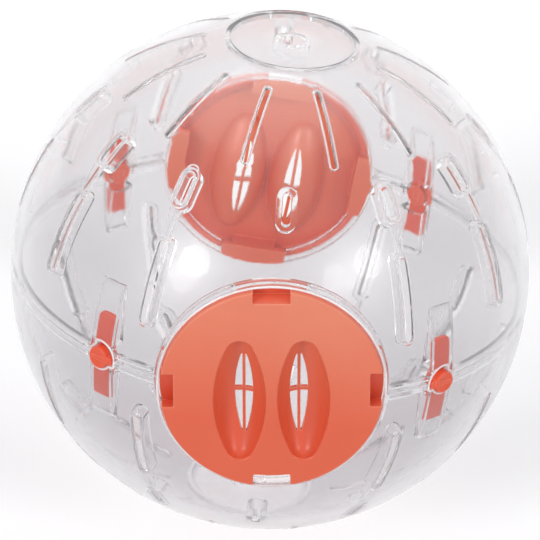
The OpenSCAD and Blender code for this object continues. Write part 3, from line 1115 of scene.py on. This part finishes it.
@dataclass
class BayonetDoor:
    """A coral door: plate with four notches, two finger recesses, slits, wall and feet."""

    name: str
    node: str
    body: str
    half_turn: float
    diameter: float = 74.0 * MM
    face: float = 83.6407 * MM
    turn: float = 5.0
    plate: float = 2.0 * MM
    edge: float = 0.5 * MM
    skirt: float = 1.8 * MM
    skirt_depth: float = 5.4 * MM
    skirt_edge: float = 0.35 * MM
    notch_width: float = 12.4 * MM
    notch_depth: float = 4.5 * MM
    notch_corner: float = 0.4 * MM
    notch_lip: float = 0.35 * MM
    arm_wall: float = 1.5 * MM
    arm_edge: float = 0.3 * MM
    foot_width: float = 23.4 * MM
    foot_reach: float = 0.5 * MM
    foot_front: float = 76.1407 * MM
    foot_back: float = 73.5407 * MM
    foot_radius: float = 37.2 * MM
    recess_wall: float = 1.6 * MM
    slit_width: float = 5.9 * MM
    slit_height: float = 30.0 * MM
    slit_end: float = 1.0 * MM
    slit_offset: float = 9.1 * MM
    slit_low: float = 4.0 * MM
    slit_upright: float = 1.1 * MM
    slit_cross: float = 1.2 * MM
    slit_cut: float = 14.0 * MM
    slit_least: float = 0.05 * MM
    slit_tip: float = 0.02 * MM
    sharp_angle: float = 32.0

    def cap(self) -> bpy.types.Mesh:
        """Plate and skirt, turned with rounded rims.

        Returns:
            The closed mesh.
        """
        radius, face, edge, small = self.diameter / 2, self.face, self.edge, self.skirt_edge
        back, inside, under = face - self.skirt_depth, radius - self.skirt, face - self.plate
        profile = [(0.0, face)]
        profile += [(radius - edge + edge * s, face - edge + edge * c) for s, c in quarter_turn(6)]
        profile += [(radius - small + small * c, back + small - small * s) for s, c in quarter_turn(4)]
        profile += [(inside + small - small * s, back + small - small * c) for s, c in quarter_turn(4)]
        return turned(profile + [(inside, under), (0.0, under)], 256)

    def disc(self, radius: float, near: float, far: float) -> bpy.types.Mesh:
        """A plain round block used to trim other shapes."""
        return turned([(0.0, far), (radius, far), (radius, near), (0.0, near)], 192)

    def notch_arm(self) -> bpy.types.Mesh:
        """The walls of the top notch with their foot, trimmed to the door's edge.

        Returns:
            The closed mesh.
        """
        inner, half = self.diameter / 2 - self.notch_depth, self.notch_width / 2
        low, top, foot_half = inner - self.arm_wall, inner + self.notch_depth, self.foot_width / 2
        front, rear, soft = self.face - self.plate / 2, self.foot_back - MM, self.arm_edge
        arm = soft_block((-half - self.arm_wall, low), (half + self.arm_wall, inner), soft,
                         self.foot_back, front, soft)
        for side in (-1, 1):
            x = side * (half + self.arm_wall / 2)
            wall = soft_block((x - self.arm_wall / 2, low), (x + self.arm_wall / 2, top), soft,
                              self.face - self.skirt_depth, front, soft)
            arm = shape(arm, wall, "UNION")
        arm = shape(arm, self.disc(self.diameter / 2 - self.edge, rear, self.face), "INTERSECT")
        foot = soft_block((-foot_half, low), (foot_half, top + self.foot_reach), 2 * soft,
                          self.foot_back, self.foot_front, soft)
        foot = shape(foot, self.disc(self.foot_radius, rear, self.foot_front + MM), "INTERSECT")
        return shape(arm, foot, "UNION")

    def slit_parts(self) -> list[list[Point2]]:
        """Outlines of the four openings that make up one oval slit.

        Returns:
            The outlines, around the slit's own centre.
        """
        oval = Oval(self.slit_width / 2, self.slit_height / 2, self.slit_end)
        inner, low, end = self.slit_upright / 2, self.slit_cross / 2, oval.half_height * 0.9999
        heights = [low + (end - low) * s for s, _ in quarter_turn(40)]
        edge = [(oval.width_at(z), z) for z in heights]
        edge = [(x, z) for x, z in edge if x > inner + self.slit_least]
        quarter = [(inner, low)] + edge + [(inner, edge[-1][1] + self.slit_tip)]
        parts = []
        for sx in (-1, 1):
            for sz in (-1, 1):
                points = [(sx * x, sz * z) for x, z in quarter]
                parts.append(points if sx * sz > 0 else points[::-1])
        return parts

    def mesh(self) -> bpy.types.Mesh:
        """Builds the whole door at the front of the ball.

        Returns:
            The closed mesh.
        """
        body, face, half = self.cap(), self.face, self.notch_width / 2
        recesses = [FingerRecess(side) for side in (-1, 1)]
        for recess in recesses:
            body = shape(body, recess.back(face, self.recess_wall, self.plate / 2), "UNION")
        inner = self.diameter / 2 - self.notch_depth
        notch = rounded_box((-half, inner), (half, inner + 2 * self.notch_depth), self.notch_corner)
        turns = [Matrix.Rotation(math.pi / 2 * quarter, 4, "Y") for quarter in range(4)]
        for turn in turns:
            below = at_front(notch, face - self.skirt_depth - MM)
            cut = skin([below] + lip_rings(notch, face, self.notch_lip, 5))
            cut.transform(turn)
            body = shape(body, cut, "DIFFERENCE")
        for turn in turns:
            arm = self.notch_arm()
            arm.transform(turn)
            body = shape(body, arm, "UNION")
        for recess in recesses:
            body = shape(body, recess.cutter(face), "DIFFERENCE")
            for part in self.slit_parts():
                moved = [(x + recess.side * self.slit_offset, z - self.slit_low) for x, z in part]
                cut = skin([at_front(moved, distance) for distance in (face - self.slit_cut, face + MM)])
                body = shape(body, cut, "DIFFERENCE")
        return body

    def build(self, coral: bpy.types.Material) -> None:
        """Builds the door in its seat.

        Args:
            coral: The door's finish.
        """
        mesh = self.mesh()
        mesh.transform(Matrix.Rotation(math.radians(-self.turn), 4, "Y"))
        mesh.transform(Matrix.Rotation(math.radians(self.half_turn), 4, "Z"))
        door = moulded(self.name, mesh, self.sharp_angle, coral)
        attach(door, self.body)
        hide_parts(self.node)
        log.info("%s: %d faces", self.name, len(mesh.polygons))


@dataclass
class TurnLatch:
    """A quarter-turn latch: the bar in the upper half's pocket, the knob and its cam."""

    place: str
    azimuth: float
    mirrored: bool
    bar_width: float = 6.8 * MM
    bar_height: float = 30.8 * MM
    bar_out: float = 87.9 * MM
    bar_in: float = 86.3 * MM
    bar_round: float = 2.0 * MM
    bar_corner: float = 0.5 * MM
    bar_edge: float = 0.4 * MM
    bar_hole: Point2 = (80.0 * MM, 92.0 * MM)
    knob_diameter: float = 7.6 * MM
    knob_proud: float = 1.0 * MM
    knob_edge: float = 0.5 * MM
    knob_chamfer: float = 0.2 * MM
    dish: tuple[Point2, ...] = ((0.0, 0.35 * MM), (0.45, 0.33 * MM), (0.62, 0.22 * MM), (0.74, 0.05 * MM))
    pointer_width: float = 2.8 * MM
    pointer_reach: float = 5.4 * MM
    pointer_corner: float = 0.7 * MM
    pointer_edge: float = 0.3 * MM
    pointer_low: float = 0.5 * MM
    ridge_width: float = 1.3 * MM
    ridge_ends: Point2 = (0.72, 0.95)  # in radii of the knob
    ridge_corner: float = 0.5 * MM
    ridge_edge: float = 0.25 * MM
    ridge_foot: float = 1.2 * MM
    ridge_low: float = 0.02 * MM
    shaft: float = 3.8 * MM
    shaft_gap: float = 0.05 * MM
    shaft_end: float = 0.54 * MM
    clearance: float = 0.3 * MM
    spigot: float = 2.4 * MM
    spigot_corner: float = 0.2 * MM
    spigot_edge: float = 0.1 * MM
    spigot_end: float = 84.56 * MM
    sharp_angle: float = 35.0

    def settle(self, mesh: bpy.types.Mesh) -> bpy.types.Mesh:
        """Moves a mesh made at -Y with its door to the right to this latch's place.

        Args:
            mesh: The mesh.

        Returns:
            The same mesh, moved, with its faces outwards.
        """
        if self.mirrored:
            mesh.transform(Matrix.Scale(-1, 4, Vector((1, 0, 0))))
            mesh.flip_normals()
        mesh.transform(Matrix.Rotation(math.radians(self.azimuth), 4, "Z"))
        return mesh

    def on_skin(self, point: Point2, radius: float) -> Vector:
        """Lays a flat point on a sphere of the given radius in front of -Y."""
        x, z = point
        return Vector((x, -math.sqrt(radius * radius - x * x - z * z), z))

    def bar(self) -> bpy.types.Mesh:
        """The curved strip with rounded rims and its shaft hole.

        Returns:
            The closed mesh.
        """
        half_w, half_h = self.bar_width / 2, self.bar_height / 2
        outline = rounded_box((-half_w, -half_h), (half_w, half_h), self.bar_corner, self.bar_round, 8)
        dense: list[Point2] = []
        for (xa, za), (xb, zb) in zip(outline, outline[1:] + outline[:1]):
            steps = max(1, int(math.hypot(xb - xa, zb - za) / MM))
            dense += [(xa + (xb - xa) * i / steps, za + (zb - za) * i / steps) for i in range(steps)]
        levels = rim_levels(self.bar_in, self.bar_out, self.bar_edge)
        shares = [(levels[0], 0.33), (levels[0], 0.66)] + [(level, 1.0) for level in levels]
        shares += [(levels[-1], 0.66), (levels[-1], 0.33)]
        strip = skin([[self.on_skin((x * share, z * share), radius) for x, z in grown(dense, growth)]
                      for (growth, radius), share in shares])
        circle = arc_points((0.0, 0.0), self.shaft / 2 + self.shaft_gap, 0, 354, 59)
        hole = skin([at_front(circle, distance) for distance in self.bar_hole])
        return shape(strip, hole, "DIFFERENCE")

    def knob(self) -> bpy.types.Mesh:
        """The dished head with its grip ridge, the pointer, the shaft and the square end.

        Returns:
            The closed mesh.
        """
        radius, top = self.knob_diameter / 2, BALL_RADIUS + self.knob_proud
        low, end = self.bar_out + self.clearance, self.bar_in - self.shaft_end
        edge, chamfer, shaft = self.knob_edge, self.knob_chamfer, self.shaft / 2
        profile = [(radius * share, top - dip) for share, dip in self.dish]
        profile += [(radius - edge + edge * s, top - edge + edge * c) for s, c in quarter_turn(5)]
        profile += [(radius, low + chamfer), (radius - chamfer, low), (shaft, low), (shaft, end), (0.0, end)]
        head = turned(profile, 96)
        half, ridge, spigot = self.pointer_width / 2, self.ridge_width / 2, self.spigot / 2
        left, right = self.ridge_ends
        for part in (soft_block((0.0, -half), (self.pointer_reach, half), self.pointer_corner,
                                low, top - self.pointer_low, self.pointer_edge),
                     soft_block((-radius * left, -ridge), (radius * right, ridge), self.ridge_corner,
                                top - self.ridge_foot, top - self.ridge_low, self.ridge_edge),
                     soft_block((-spigot, -spigot), (spigot, spigot), self.spigot_corner,
                                self.spigot_end, self.bar_in, self.spigot_edge)):
            head = shape(head, part, "UNION")
        return head

    def build(self, coral: bpy.types.Material) -> None:
        """Builds the latch in its pocket.

        Args:
            coral: The latch's finish.
        """
        for part, mesh, body in (("bar", self.bar(), "upper_half"),
                                 ("knob", self.knob(), "latch_" + self.place)):
            node = f"latch_{part}_{self.place}"
            piece = moulded(f"{self.place}_latch_{part}", self.settle(mesh), self.sharp_angle, coral)
            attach(piece, body)
            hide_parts(node)
            log.info("%s: %d faces", piece.name, len(mesh.polygons))
        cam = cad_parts["latch_cam_" + self.place]
        dress(cam.data, coral)
        log.info("latch_cam_%s: dressed", self.place)


# Studio


@dataclass
class Studio:
    """Floor, lamps and camera."""

    floor_z: float = -89.0 * MM
    paper_half: float = 6.0
    paper_rise: float = 5.0
    paper_bend: float = 1.2
    surround: Colour = (0.96, 0.97, 1.0, 1.0)
    surround_strength: float = 0.55
    distance: float = 15.79  # in radii of the ball
    azimuth: float = -3.05
    elevation: float = 28.28
    roll: float = 5.62
    lens: float = 272.5
    bounces: int = 24
    lamps: tuple[tuple[str, Point3, float, float], ...] = (
        ("key_lamp", (-0.967, -1.212, 0.694), 0.4, 8.0),
        ("fill_lamp", (1.077, -1.062, 0.779), 0.4, 5.5),
        ("top_lamp", (-0.2, 0.4, 1.8), 1.8, 12.0),
    )

    def floor(self) -> None:
        """Lays the seamless paper, bent up behind the ball."""
        half, bend = self.paper_half, self.paper_bend
        rows = [(-half, self.floor_z)]
        rows += [(half - bend + bend * s, self.floor_z + bend * (1 - c)) for s, c in quarter_turn(12)]
        rows += [(half, self.paper_rise)]
        mesh = bpy.data.meshes.new("studio_floor")
        mesh.from_pydata([(x, y, z) for y, z in rows for x in (-half, half)], [],
                         [(2 * i, 2 * i + 1, 2 * i + 3, 2 * i + 2) for i in range(len(rows) - 1)])
        mesh.polygons.foreach_set("use_smooth", [True] * len(mesh.polygons))
        mesh.materials.append(StudioPaper().build())
        new_object("studio_floor", mesh)

    def light(self) -> None:
        """Sets the pale surround and the soft lamps."""
        world = bpy.data.worlds.new("studio_surround")
        bpy.context.scene.world = world
        world.use_nodes = True
        s = NodeChain(world.node_tree)
        back = world.node_tree.nodes["Background"]
        s.put(back.inputs["Color"], self.surround)
        s.put(back.inputs["Strength"], self.surround_strength)
        white = s.add("ShaderNodeBackground", Color=WHITE)
        choice = s.mix_shaders(s.seen(), back.outputs[0], white.outputs[0])
        s.put(world.node_tree.nodes["World Output"].inputs["Surface"], choice)
        for name, place, size, power in self.lamps:
            lamp = bpy.data.lights.new(name, "AREA")
            lamp.shape = "DISK"
            lamp.size = size
            lamp.energy = power
            obj = in_scene(name, lamp)
            obj.location = place
            obj.rotation_euler = (-Vector(place)).to_track_quat("-Z", "Y").to_euler()

    def camera(self) -> None:
        """Places the camera at the photograph's viewing angle."""
        az, el, roll = (math.radians(a) for a in (self.azimuth, self.elevation, self.roll))
        back = Vector((math.sin(az) * math.cos(el), -math.cos(az) * math.cos(el), math.sin(el)))
        level = (-back).cross(Vector((0, 0, 1))).normalized()
        upright = level.cross(-back)
        right = level * math.cos(roll) + upright * math.sin(roll)
        up = -level * math.sin(roll) + upright * math.cos(roll)
        data = bpy.data.cameras.new("studio_camera")
        data.lens = self.lens
        data.sensor_width = 36.0
        data.clip_start, data.clip_end = 0.01, 50.0
        camera = in_scene("studio_camera", data)
        turn = Matrix((right, up, back)).transposed().to_4x4()
        camera.matrix_world = Matrix.Translation(back * self.distance * BALL_RADIUS) @ turn
        bpy.context.scene.camera = camera

    def build(self) -> None:
        """Builds the studio."""
        self.floor()
        self.light()
        self.camera()
        scene = bpy.context.scene
        scene.view_settings.view_transform = "Standard"
        scene.cycles.transparent_max_bounces = self.bounces
        scene.cycles.transmission_bounces = self.bounces
        scene.cycles.glossy_bounces = 16
        scene.cycles.max_bounces = self.bounces + 4
        log.info("studio built")


def main() -> None:
    """Builds every piece in order."""
    logging.basicConfig(level=logging.INFO, format="%(name)s: %(message)s")
    Studio().build()
    clear = ClearPlastic().build()
    pale = (0.97, 0.965, 0.975, 1.0)
    # The mouldings and the borders around knob holes and door seats get a heavy white veil: painted
    # highlight lines.
    edges = ClearPlastic("clear_plastic_mouldings", WHITE, pale, haze_and_highlight_share=0.12, grazing_highlight_share=0.4).build()
    rims = ClearPlastic("clear_plastic_hole_rims", WHITE, pale, haze_and_highlight_share=0.5, grazing_highlight_share=0.4).build()
    door_coral = SatinPlastic("coral_door_plastic", colour=(0.745, 0.122, 0.054, 1.0),
                              deep=(0.72, 0.11, 0.047, 1.0), pale_highlight=(0.95, 0.55, 0.36, 1.0),
                              painted_shade=(0.74, 0.07, 0.028, 1.0), painted_top_sheen=0.3).build()
    latch_coral = SatinPlastic("coral_latch_plastic", colour=(0.80, 0.092, 0.03, 1.0),
                               deep=(0.76, 0.08, 0.026, 1.0), pale_highlight=(0.93, 0.42, 0.33, 1.0),
                               painted_shade=(0.74, 0.06, 0.022, 1.0)).build()
    for half in (HalfShell("upper", "upper_shell", "upper_half", 1),
                 HalfShell("lower", "lower_shell", "lower_half", -1)):
        half.build(clear, edges, rims)
    for door in (BayonetDoor("front_coral_door", "front_door", "front_door", 0.0),
                 BayonetDoor("back_coral_door", "back_door", "back_door", 180.0)):
        door.build(door_coral)
    for place, azimuth, mirrored in LATCHES:
        TurnLatch(place, azimuth, mirrored).build(latch_coral)


if __name__ == "__main__":
    main()
